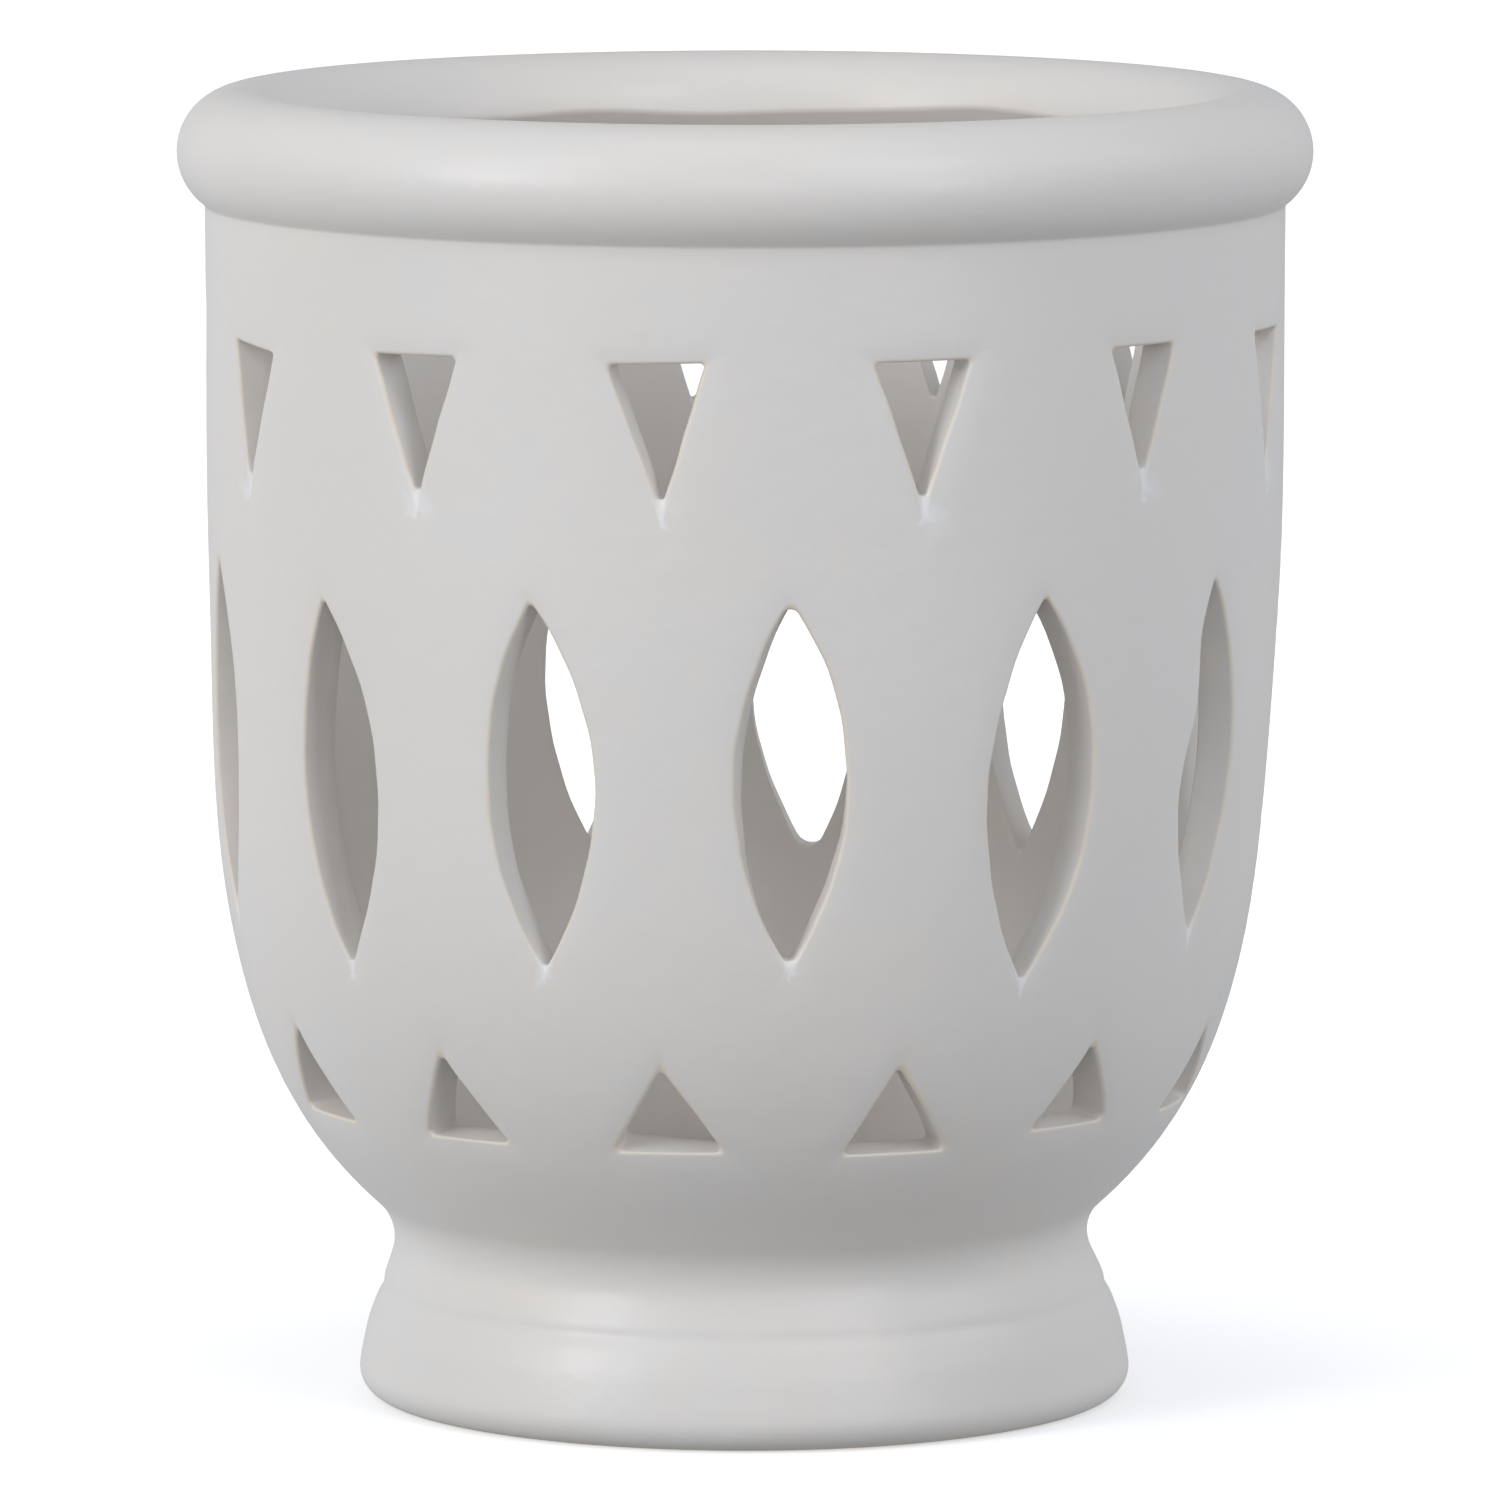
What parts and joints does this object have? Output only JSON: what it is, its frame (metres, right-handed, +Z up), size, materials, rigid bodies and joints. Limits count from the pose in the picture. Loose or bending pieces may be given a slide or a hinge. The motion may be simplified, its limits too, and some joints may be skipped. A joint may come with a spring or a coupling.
{
  "type": "tealight holder",
  "caption": "Footed ceramic tealight holder with a rolled rim and rows of cut windows round its bowl, and a tealight standing down in its foot.",
  "frame": {"origin": "centre of the foot, on the surface that it stands on", "axes": "+Z up along the vessel's axis; the front faces -Y"},
  "size_m": [0.1, 0.1, 0.116],
  "materials": {
    "glazed_ceramic": "satin off-white glaze",
    "cup_aluminium": "thin pressed aluminium",
    "candle_wax": "white paraffin wax",
    "tinned_steel": "thin tinned steel",
    "wick_cotton": "braided waxed cotton"
  },
  "bodies": {
    "holder": {"ceramic_body": "glazed_ceramic"},
    "tealight": {"tealight_cup": "cup_aluminium"},
    "candle": {"tealight_wax": "candle_wax", "wick_sustainer": "tinned_steel", "wick": "wick_cotton"}
  },
  "joints": [
    {"name": "tealight_lift", "type": "slide", "parent": "holder", "child": "tealight", "axis": [0, 0, 1], "range_m": [0, 0.125]},
    {"name": "candle_lift", "type": "slide", "parent": "tealight", "child": "candle", "axis": [0, 0, 1], "range_m": [0, 0.02]}
  ]
}
